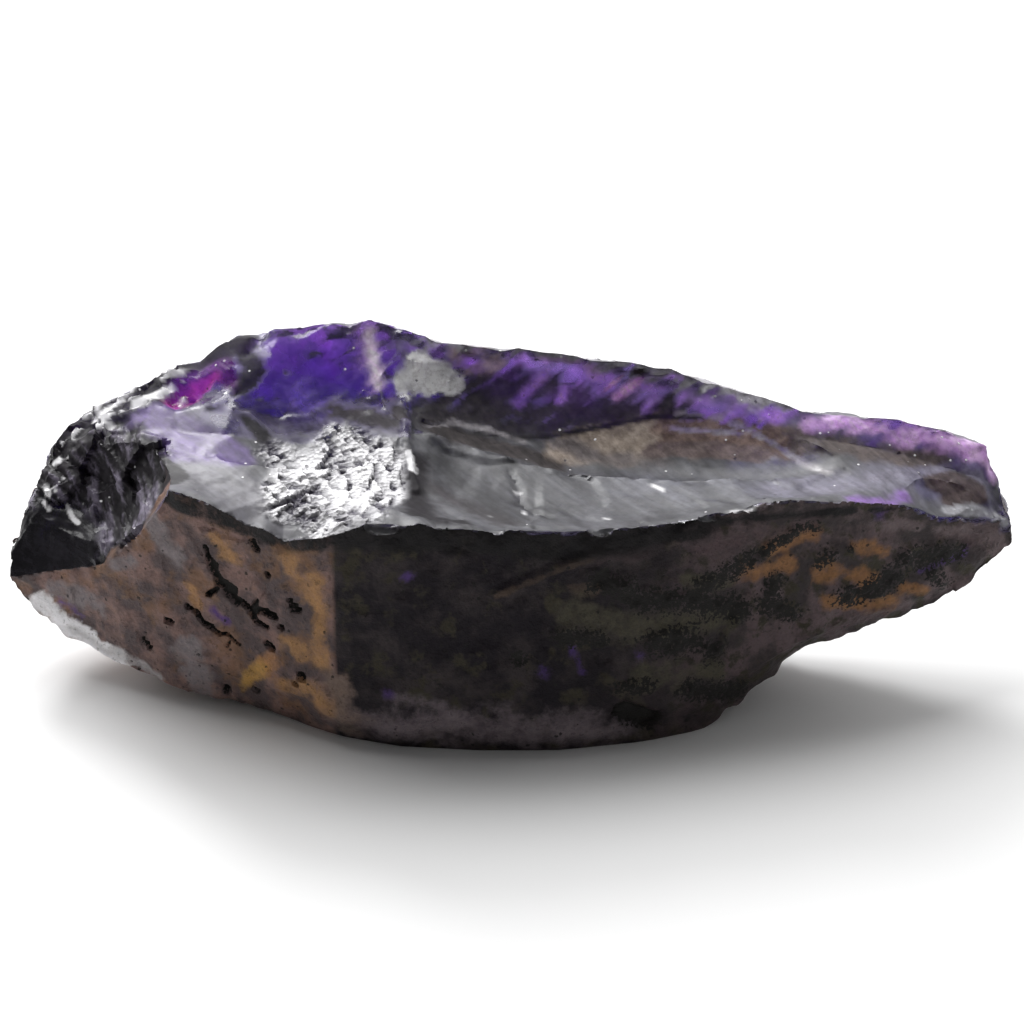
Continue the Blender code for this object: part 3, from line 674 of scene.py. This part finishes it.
# The relief of the breaks: faint ribs the way the flakes ran, a raised leaf and a crest, a crack in the
# floor, a groove down the left of the high wall and a hollow at the magenta pocket.
FLAKE_RUN = (0.62, -0.78, 0.0)
LEAF = ((((-4.0, 3.4, 14.1), (-1.2, 2.6, 13.7), (1.0, 2.9, 13.2)), 1.3),)
CREST = ((((-6.4, 5.6, 15.6), (-6.2, 3.0, 15.0), (-6.1, 0.8, 14.2), (-5.6, -2.4, 13.9)), 0.45),)
FLOOR_CRACK = (
    (((0.0, 0.9, 13.3), (0.5, -0.6, 13.1), (0.6, -2.1, 13.1), (1.4, -3.6, 13.1), (2.4, -4.4, 13.1)), 0.30),
)
WALL_GROOVE = ((((-15.1, 8.9, 18.4), (-16.9, 6.8, 16.5)), 0.5),)
POCKET_HOLLOW = ((((-20.3, 6.2, 15.3), (-16.6, 6.4, 15.8)), 1.3),)
LEAF_HEIGHT, CREST_HEIGHT = 0.18, 0.22
FLOOR_CRACK_DEPTH, GROOVE_DEPTH, HOLLOW_DEPTH = 0.16, 0.25, 0.55
thin_ribs = lumps(1.0, lie=(FLAKE_RUN, 9.0))
wide_ribs = lumps(2.8, at=(5, 1, 1), lie=(FLAKE_RUN, 14.0))
break_height = 0.025 * thin_ribs + 0.07 * wide_ribs
break_height += 0.03 * lumps(2.4, at=(8, 2, 2), layers=3)
raised = LEAF_HEIGHT * along(*LEAF, blur=0.3, wobble=0.3) + CREST_HEIGHT * along(*CREST, wobble=0.5)
cracked = along(*FLOOR_CRACK, blur=0.9, wobble=0.5)
break_height += raised
break_height -= FLOOR_CRACK_DEPTH * cracked + GROOVE_DEPTH * along(*WALL_GROOVE)
break_height -= HOLLOW_DEPTH * along(*POCKET_HOLLOW, blur=0.9, wobble=0.2)
streaks = lumps(0.45, at=(3, 3, 3), lie=(FLAKE_RUN, 9.0), layers=2)
streaks = np.where(upward > WALL_BELOW, streaks, wall_streaks)
break_height += 0.05 * wall_streaks * eased(WALL_BELOW, 0.80, upward)

# Plates along the rim, over the breaks, and in the stepped patch, with dark gaps between its blocks: they are
# sunk, and left without white so that the painted shade of the patch shows there.
STEP_GAPS = (
    (((-14.5, -5.4, 14.4), (-12.5, -4.1, 14.5), (-11.6, -3.0, 14.6), (-10.7, -1.9, 14.7)), 0.36),
    (((-13.2, 0.4, 14.8), (-11.9, 0.7, 14.8), (-11.0, 1.4, 14.9)), 0.24),
    (((-10.1, 1.8, 14.9), (-9.7, 0.0, 14.8), (-10.0, -1.4, 14.7)), 0.28),
    (((-12.4, -2.2, 14.6), (-11.2, -1.0, 14.7)), 0.20),
    (((-8.0, -4.6, 14.4), (-7.0, -3.4, 14.5)), 0.26),
)
RIM_PLATES = ((((-28.9, 4.0, 11.2), (-26.5, 5.8, 13.4), (-23.5, 6.6, 14.8), (-20.4, 7.2, 15.8)), 1.5),)
open_break = (1 - skin) * (1 - np.maximum(steps_here, bowl))
rim_plates = plates((1.2, 0.7, 1.0), 13, along(*RIM_PLATES, blur=0.4), lean=LEVEL, spread=0.30)
break_height += rim_plates
break_height += plates((2.6, 3.4, 2.6), 21, open_break, lean=LEVEL, spread=0.035, drop=0.02)
right_steps = reached(STEP_PATCH_RIGHT, points, edge=0.3)
step_height = plates((0.95, 0.55, 0.9), 2, steps_here * (1 - right_steps)) * (1 - right_steps)
step_height += plates((0.55, 1.9, 0.9), 5, steps_here * right_steps) * right_steps
step_height += 0.30 * plates((3.4, 2.4, 3.0), 3, steps_here)
GAP_DEPTH = 0.35
gaps = along(*STEP_GAPS, blur=0.5, wobble=0.6)
step_height -= GAP_DEPTH * gaps
bowl_height = 0.20 * fibres + 0.8 * plates((2.4, 2.4, 2.0), 9, bowl, spread=0.26)
behind = eased(0.2, 0.5, facing_back) * eased(0.6, 0.3, facing_up)
break_height += behind * (0.45 * lumps(7.0, at=(3, 3, 9), layers=2) - 0.25 + 0.05 * wall_streaks)
plain = 1 - np.maximum.reduce([steps_here, bowl, toe])
fresh_height = break_height * plain + step_height * steps_here + bowl_height * bowl

# Rims are nibbled where edges chipped.
FOLD_ROUNDS = 8
NIBBLE_REACH = 0.8
fold_near = np.full(len(points), FAR_AWAY)
lengths = np.linalg.norm(points[ends[:, 0]] - points[ends[:, 1]], axis=1)
bm = bmesh.new()
bm.from_mesh(stone_mesh)
for edge in bm.edges:
    if edge.calc_face_angle(0) > SHARP_FOLD and edge.is_convex:
        fold_near[[v.index for v in edge.verts]] = 0
bm.free()
for _ in range(FOLD_ROUNDS):
    for one, other in ((0, 1), (1, 0)):
        np.minimum.at(fold_near, ends[:, one], fold_near[ends[:, other]] + lengths)
on_fold = 1 - eased(0.0, NIBBLE_REACH, fold_near)
nicks = 0.22 * np.clip(lumps(1.6, at=(9, 1, 4)) - 0.05, 0, 1) + 0.12 * np.clip(lumps(0.6), 0, 1)
nibbles = on_fold * (1 + 1.2 * bowl) * nicks

height = skin * skin_height + (1 - skin) * fresh_height - nibbles
# The stepped patch is white where its plates stand proud, crushed white and partly a painted highlight, and
# keeps its dark film, painted shade, where they drop. The white tops of the rim plates are painted glints.
ashy = 0.35 * reached(ASHY_CORNER, points, edge=0.6)
whiteness = eased(-0.13, 0.03, step_height + 0.05 * ragged) * (1 - ashy) * (1 - gaps)
proud_white_and_glints = np.maximum(whiteness * steps_here, 0.9 * eased(0.09, 0.16, rim_plates))

# The relief stops short of the base, and the back corner of the tip is drawn in.
TIP_DRAWN_IN = 0.7 * MM
height *= eased(0.0, 0.6, z)
moved = points * MM + normals * height[:, None] * MM
moved[:, 0] -= TIP_DRAWN_IN * eased(28.6, 30.2, x) * eased(0.6, 2.2, y) * eased(9.0, 11.0, z)
moved = np.clip(moved, np.array(cad_box[0]), np.array(cad_box[1]))
stone_mesh.vertices.foreach_set("co", moved.ravel())

# Where each colour and finish lies, kept on the mesh for the material to read.
magenta = along(*MAGENTA_POCKET)
rear_side = eased(-6.5, -3.0, y)
blunt_end = (1 - rear_side) * eased(-10.1, -10.5, x)
blunt_end += rear_side * eased(-8.0, -12.0, x + 3.0 * lumps(3.5, at=(5, 5, 5), layers=2))
smoke = np.maximum(bowl, toe)
streaky_film = films_and_light[:, 3] - (0.4 + 0.4 * streaks) * films_and_light[:, 3] * (1 - films_and_light[:, 3])
stain_and_light_color = stain_and_light[:, :3] / np.maximum(stain_and_light[:, 3:], 0.01)
for name, values in (
    ("skin", skin),
    ("black", black),
    ("crusts", crusts),
    ("stain_and_light_share", stain_and_light[:, 3]),
    ("film", streaky_film),
    ("film_roughness", films_and_light[:, 4]),
    ("magenta", magenta),
    ("blunt_end", blunt_end),
    ("smoke", smoke),
    ("steps", steps_here),
    ("proud_white_and_glints", proud_white_and_glints),
    ("grains_and_glints", grains_and_glints),
    ("glint_grit_share", glint_grit_share),
):
    stone_mesh.attributes.new(name, "FLOAT", "POINT").data.foreach_set("value", values)
for name, colors in (("stain_and_light_color", stain_and_light_color), ("film_and_light_color", films_and_light[:, :3])):
    solid = np.column_stack([colors, np.ones(len(points))])
    stone_mesh.attributes.new(name, "FLOAT_COLOR", "POINT").data.foreach_set("color", solid.ravel())
stone_mesh.shade_smooth()
crisp = np.maximum.reduce([steps_here, bowl, along(*RIM_PLATES)]) > 0.3
corners = np.zeros(len(stone_mesh.loops), int)
stone_mesh.loops.foreach_get("vertex_index", corners)
starts = np.zeros(len(stone_mesh.polygons), int)
stone_mesh.polygons.foreach_get("loop_start", starts)
stone_mesh.polygons.foreach_set("use_smooth", ~crisp[corners[starts]])
stone_mesh.set_sharp_from_angle(angle=SMOOTH_LIMIT)
stone_mesh.update()
stone = add_object("rough_crystal", stone_mesh)


def add_node(tree, kind, sockets=None, **settings):
    """A shader node with its settings, each named socket given a value or joined to another node's output."""
    made = tree.nodes.new("ShaderNode" + kind)
    for name, value in settings.items():
        setattr(made, name, value)
    for name, value in (sockets or {}).items():
        if isinstance(value, bpy.types.NodeSocket):
            tree.links.new(value, made.inputs[name])
        else:
            made.inputs[name].default_value = value
    return made


def painted(tree, name, output="Fac"):
    """The value of one of the piece's own attributes."""
    return add_node(tree, "Attribute", attribute_name=name).outputs[output]


def faded(tree, value, low, high):
    """0 where a value is at low and 1 where it is at high."""
    sockets = {"Value": value, "From Min": low, "From Max": high}
    return add_node(tree, "MapRange", sockets, interpolation_type="SMOOTHSTEP").outputs["Result"]


def noisy(tree, place, scale, detail, roughness=0.5):
    """Noise with scale lumps to the millimetre."""
    sockets = {"Vector": place, "Scale": scale, "Detail": detail, "Roughness": roughness}
    return add_node(tree, "TexNoise", sockets).outputs["Fac"]


def cloud(tree, place, size, low, high, shift=(0, 0, 0)):
    """Soft patches about size millimetres wide: 0 where the noise is under low, 1 where it is over high."""
    moved = add_node(tree, "Mapping", {"Vector": place, "Location": shift}).outputs["Vector"]
    return faded(tree, noisy(tree, moved, 1 / size, 4.0, 0.6), low, high)


def reckoned(tree, operation, first, second):
    """The sum, product or the like of two values, kept between 0 and 1."""
    made = add_node(tree, "Math", operation=operation, use_clamp=True)
    for socket, value in zip(made.inputs, (first, second)):
        if isinstance(value, bpy.types.NodeSocket):
            tree.links.new(value, socket)
        else:
            socket.default_value = value
    return made.outputs["Value"]


def blended(tree, share, first, second, way="MIX"):
    """A colour between two colours."""
    made = add_node(tree, "MixRGB", {"Fac": share, "Color1": first, "Color2": second}, blend_type=way)
    return made.outputs["Color"]


def broken_up(tree, mask, breaks, amount=0.5, soft=0.4):
    """A painted mask with its soft edges broken up by a pattern."""
    gone = reckoned(tree, "MULTIPLY", reckoned(tree, "SUBTRACT", 1.0, breaks), amount)
    return faded(tree, reckoned(tree, "SUBTRACT", mask, gone), 0.0, soft)


SAPPHIRE_IOR = 1.76
SKIN_GLOSS = 0.22
SKIN_ROUGHNESS = 0.55
BUMP_STRENGTH, BUMP_DEPTH = 0.6, 0.25 * MM
ABSORPTION_COLOR = (0.46, 0.0, 0.77, 1)
ABSORPTION_DENSITY = 1500.0
CLEAR = (0.78, 0.68, 0.95, 1)
BLUE = (0.34, 0.40, 0.52, 1)
SMOKY = (0.020, 0.017, 0.026, 1)
MAGENTA = (1.0, 0.20, 0.70, 1)
DARK_SKIN = (0.0075, 0.0045, 0.0085, 1)
BROWN_SKIN = (0.038, 0.030, 0.032, 1)
OLIVE_SKIN = (0.036, 0.031, 0.020, 1)
MAUVE_SKIN = (0.110, 0.080, 0.086, 1)
PINK_SKIN = (0.215, 0.138, 0.124, 1)
TAUPE_SKIN = (0.090, 0.068, 0.070, 1)
RUSTY_SKIN = (0.200, 0.110, 0.062, 1)
PIT_BLACK = (0.013, 0.0115, 0.0105, 1)
# The dark film of the stepped patch is painted shade; the crushed white is partly painted glints.
STEP_SHADE_FILM = (0.060, 0.052, 0.080, 1)
CRUSHED_WHITE_AND_GLINT = (0.92, 0.91, 0.93, 1)
RIB_GREY = (0.82, 0.82, 0.82, 1)
DUST_GREY = (0.66, 0.64, 0.64, 1)
GRAIN_TINT = (0.62, 0.60, 0.58, 1)

crystal = bpy.data.materials.new("sapphire_and_skin")
crystal.use_nodes = True
tree = crystal.node_tree
tree.nodes.clear()
metres = add_node(tree, "TexCoord").outputs["Object"]
place = add_node(tree, "Mapping", {"Vector": metres, "Scale": (1 / MM,) * 3}).outputs["Vector"]
x_place = add_node(tree, "SeparateXYZ", {"Vector": place}).outputs["X"]
speckle = noisy(tree, place, 2.4, 4.0, 0.7)
mottle = noisy(tree, place, 0.8, 3.0, 0.6)
coarse = faded(tree, mottle, 0.30, 0.70)
fine = faded(tree, speckle, 0.34, 0.66)
skin_share = painted(tree, "skin")

# Skin colours from the blunt end to the thin end: pinkish, then nearly black, then brown. The paler pink of
# the blunt end, which faces the light, and the near black of the middle, which is turned from it, are partly
# painted light and shade.
blunt = blended(tree, cloud(tree, place, 2.2, 0.42, 0.62), TAUPE_SKIN, PINK_SKIN)
rusty = cloud(tree, place, 2.6, 0.50, 0.66, shift=(5, 1, 2))
blunt = blended(tree, reckoned(tree, "MULTIPLY", rusty, 0.7), blunt, RUSTY_SKIN)
middle = blended(tree, cloud(tree, place, 2.2, 0.40, 0.70, shift=(4, 4, 4)), DARK_SKIN, BROWN_SKIN)
middle = blended(tree, cloud(tree, place, 1.8, 0.52, 0.66, shift=(2, 8, 6)), middle, OLIVE_SKIN)
thin = blended(tree, cloud(tree, place, 2.4, 0.40, 0.62, shift=(3, 5, 8)), BROWN_SKIN, MAUVE_SKIN)
thin = blended(tree, cloud(tree, place, 1.2, 0.50, 0.62, shift=(8, 3, 3)), thin, OLIVE_SKIN)
skin_color = blended(tree, faded(tree, x_place, 4.0, 17.0), middle, thin)
skin_color = blended(tree, painted(tree, "blunt_end"), skin_color, blunt)
grain = noisy(tree, place, 4.5, 3.0, 0.65)
granular = faded(tree, grain, 0.36, 0.62)
edging = reckoned(tree, "ADD", reckoned(tree, "MULTIPLY", coarse, 0.6), reckoned(tree, "MULTIPLY", fine, 0.4))
# The stains, with the painted shade under the rim and the painted light along the foot, go over the skin
# colour.
stain_and_light_share = broken_up(tree, painted(tree, "stain_and_light_share"), edging, 0.5, 0.8)
skin_color = blended(tree, stain_and_light_share, skin_color, painted(tree, "stain_and_light_color", "Color"))
specks = faded(tree, speckle, 0.56, 0.66)
skin_color = blended(tree, reckoned(tree, "MULTIPLY", specks, 0.45), skin_color, PIT_BLACK)
skin_color = blended(tree, faded(tree, grain, 0.30, 0.66), skin_color, GRAIN_TINT, "OVERLAY")
pore_cells = add_node(tree, "TexVoronoi", {"Vector": place, "Scale": 1.5}, feature="F1")
pore_lot = add_node(tree, "SeparateColor", {"Color": pore_cells.outputs["Color"]}).outputs["Green"]
pore_rim = reckoned(tree, "ADD", pore_cells.outputs["Distance"], reckoned(tree, "MULTIPLY", granular, 0.12))
pores = reckoned(tree, "MULTIPLY", faded(tree, pore_lot, 0.60, 0.64), faded(tree, pore_rim, 0.26, 0.16))
skin_color = blended(tree, reckoned(tree, "MULTIPLY", pores, 0.85), skin_color, PIT_BLACK)
for mask, amount in (("black", 0.7), ("crusts", 0.95)):
    marks = broken_up(tree, painted(tree, mask), granular, amount, 0.15)
    skin_color = blended(tree, marks, skin_color, PIT_BLACK)

# Over the breaks lie thin films, with crushed white steps, grains and grit. The white of the steps is partly
# a painted highlight and the dark between them is painted shade; the grit and most grains are painted glints.
# Hair-fine ribs run the way the flakes ran.
FLAKE_TURN = math.atan2(-FLAKE_RUN[1], FLAKE_RUN[0])
turned = add_node(tree, "Mapping", {"Vector": place, "Rotation": (0, 0, FLAKE_TURN)}).outputs["Vector"]
ribs_place = add_node(tree, "Mapping", {"Vector": turned, "Scale": (0.25, 2.6, 2.6)}).outputs["Vector"]
ribs = noisy(tree, ribs_place, 1.0, 3.0)
cells = add_node(tree, "TexVoronoi", {"Vector": place, "Scale": 1.9}, feature="F1")
lot = add_node(tree, "SeparateColor", {"Color": cells.outputs["Color"]}).outputs["Red"]
# Painted glints: a few cells picked as white grit.
picked = faded(tree, reckoned(tree, "ADD", lot, painted(tree, "glint_grit_share")), 0.98, 0.99)
glint_grit = reckoned(tree, "MULTIPLY", picked, faded(tree, cells.outputs["Distance"], 0.20, 0.12))
proud_white_and_glints, smoke = painted(tree, "proud_white_and_glints"), painted(tree, "smoke")
grains_and_glints = reckoned(tree, "MAXIMUM", painted(tree, "grains_and_glints"), glint_grit)
# Film colours, with the painted light and shade laid among the films.
film_and_light_color = painted(tree, "film_and_light_color", "Color")
film_and_light_color = blended(tree, faded(tree, ribs, 0.35, 0.65), film_and_light_color, RIB_GREY, "SOFT_LIGHT")
film_and_light_color = blended(tree, faded(tree, speckle, 0.40, 0.70), film_and_light_color, DUST_GREY, "MULTIPLY")
dark_specks = reckoned(tree, "MULTIPLY", faded(tree, pore_lot, 0.86, 0.88), faded(tree, pore_rim, 0.24, 0.12))
film_and_light_color = blended(tree, reckoned(tree, "MULTIPLY", dark_specks, 0.8), film_and_light_color, SMOKY)
# Painted shade over the stepped patch, then its white and the white grains, partly painted glints.
film_and_light_color = blended(tree, painted(tree, "steps"), film_and_light_color, STEP_SHADE_FILM)
film_and_light_color = blended(tree, reckoned(tree, "MAXIMUM", proud_white_and_glints, grains_and_glints), film_and_light_color, CRUSHED_WHITE_AND_GLINT)
opaque_color = blended(tree, skin_share, film_and_light_color, skin_color)
opaque_share = painted(tree, "film")
for mask, share in ((painted(tree, "steps"), 0.5), (proud_white_and_glints, 0.92), (grains_and_glints, 0.85), (skin_share, 1.0)):
    opaque_share = reckoned(tree, "MAXIMUM", opaque_share, reckoned(tree, "MULTIPLY", mask, share))
clear_color = blended(tree, cloud(tree, place, 1.8, 0.42, 0.60, shift=(7, 3, 1)), CLEAR, BLUE)
clear_color = blended(tree, painted(tree, "magenta"), clear_color, MAGENTA)
clear_color = blended(tree, smoke, clear_color, SMOKY)

# Fine relief: grain on the skin, crumbs on the stepped breaks, faint waves and ribs on the others.
crush = add_node(tree, "TexVoronoi", {"Vector": place, "Scale": 3.4}, feature="F1").outputs["Distance"]
waves = noisy(tree, place, 1.2, 3.0)
grained = reckoned(tree, "MULTIPLY", skin_share, speckle)
crushed = reckoned(tree, "MULTIPLY", painted(tree, "steps"), crush)
waved = reckoned(tree, "ADD", reckoned(tree, "MULTIPLY", waves, 0.10), reckoned(tree, "MULTIPLY", ribs, 0.12))
waved = reckoned(tree, "ADD", waved, reckoned(tree, "MULTIPLY", glint_grit, 0.3))
fine_height = reckoned(tree, "ADD", reckoned(tree, "ADD", waved, grained), crushed)
bump_sockets = {"Strength": BUMP_STRENGTH, "Distance": BUMP_DEPTH, "Height": fine_height}
bump = add_node(tree, "Bump", bump_sockets).outputs["Normal"]
haze = reckoned(tree, "MULTIPLY", cloud(tree, place, 3.0, 0.40, 0.70, shift=(1, 1, 7)), 0.10)
roughness = reckoned(tree, "ADD", haze, painted(tree, "film_roughness"))
roughness = reckoned(tree, "MAXIMUM", roughness, reckoned(tree, "MULTIPLY", skin_share, SKIN_ROUGHNESS))

clear_sockets = {
    "Base Color": clear_color,
    "Roughness": roughness,
    "IOR": SAPPHIRE_IOR,
    "Transmission Weight": 1.0,
    "Normal": bump,
}
skin_sockets = {
    "Base Color": opaque_color,
    "Roughness": roughness,
    "Specular IOR Level": SKIN_GLOSS,
    "Normal": bump,
}
clear_shader = add_node(tree, "BsdfPrincipled", clear_sockets).outputs["BSDF"]
skin_shader = add_node(tree, "BsdfPrincipled", skin_sockets).outputs["BSDF"]
surface = add_node(tree, "MixShader", {"Fac": opaque_share})
tree.links.new(clear_shader, surface.inputs[1])
tree.links.new(skin_shader, surface.inputs[2])
depth = add_node(tree, "VolumeAbsorption", {"Color": ABSORPTION_COLOR, "Density": ABSORPTION_DENSITY})
output = add_node(tree, "OutputMaterial")
tree.links.new(surface.outputs["Shader"], output.inputs["Surface"])
tree.links.new(depth.outputs["Volume"], output.inputs["Volume"])
stone_mesh.materials.clear()
stone_mesh.materials.append(crystal)

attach(stone, "root")
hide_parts("crystal")

# ------------------------------------------------------------------------------
# The floor: a wide sheet of matt white board, which the piece rests on.
# It is bare and flat, and reaches far past the piece on every side.
# ------------------------------------------------------------------------------
FLOOR_HALF = 1.5
BOARD_WHITE = (0.9, 0.9, 0.9, 1)
BOARD_ROUGHNESS, BOARD_GLOSS = 0.8, 0.2

bm = bmesh.new()
bmesh.ops.create_grid(bm, x_segments=1, y_segments=1, size=FLOOR_HALF)
mesh = bpy.data.meshes.new("floor")
bm.to_mesh(mesh)
bm.free()
floor = add_object("floor", mesh)
board = bpy.data.materials.new("white_board")
board.use_nodes = True
board_shader = board.node_tree.nodes["Principled BSDF"]
board_shader.inputs["Base Color"].default_value = BOARD_WHITE
board_shader.inputs["Roughness"].default_value = BOARD_ROUGHNESS
board_shader.inputs["Specular IOR Level"].default_value = BOARD_GLOSS
mesh.materials.append(board)

# ------------------------------------------------------------------------------
# The light: a soft bright room behind the piece, a dim one in front, a wide lamp overhead,
# and a small strong window behind on the left, which the stepped break throws back.
# ------------------------------------------------------------------------------
ROOM_FRONT, ROOM_BACK = 0.12, 1.7
ROOM_WHITE = (1, 1, 1, 1)
LAMP_PLACE = Vector((-0.10, 0.17, 0.33))
LAMP_WIDTH, LAMP_DEPTH = 0.36, 0.20
LAMP_RADIANCE = 5.0
WINDOW_PLACE = Vector((-0.12, 0.30, 0.245))
WINDOW_SIZE = 0.11
WINDOW_RADIANCE = 28.0
LIGHT_BOUNCES = 14

room = bpy.data.worlds.new("room")
bpy.context.scene.world = room
room.use_nodes = True
tree = room.node_tree
background = tree.nodes["Background"]
background.inputs["Color"].default_value = ROOM_WHITE
direction = add_node(tree, "TexCoord").outputs["Generated"]
backward = add_node(tree, "SeparateXYZ", {"Vector": direction}).outputs["Y"]
sockets = {"Value": backward, "From Min": 0.0, "From Max": 0.8, "To Min": ROOM_FRONT, "To Max": ROOM_BACK}
brightness = add_node(tree, "MapRange", sockets).outputs["Result"]
tree.links.new(brightness, background.inputs["Strength"])


def add_lamp(name, place):
    """A flat lamp that faces the middle of the floor."""
    lamp = bpy.data.lights.new(name, "AREA")
    holder = add_object(name, lamp)
    holder.location = place
    holder.rotation_euler = place.to_track_quat("Z", "Y").to_euler()
    return lamp


overhead = add_lamp("overhead", LAMP_PLACE)
overhead.shape = "RECTANGLE"
overhead.size, overhead.size_y = LAMP_WIDTH, LAMP_DEPTH
overhead.energy = LAMP_RADIANCE * math.pi * LAMP_WIDTH * LAMP_DEPTH
window = add_lamp("window", WINDOW_PLACE)
window.shape = "DISK"
window.size = WINDOW_SIZE
window.energy = WINDOW_RADIANCE * math.pi * math.pi * WINDOW_SIZE**2 / 4

bpy.context.scene.view_settings.view_transform = "Standard"
bpy.context.scene.cycles.max_bounces = LIGHT_BOUNCES
bpy.context.scene.cycles.transmission_bounces = LIGHT_BOUNCES
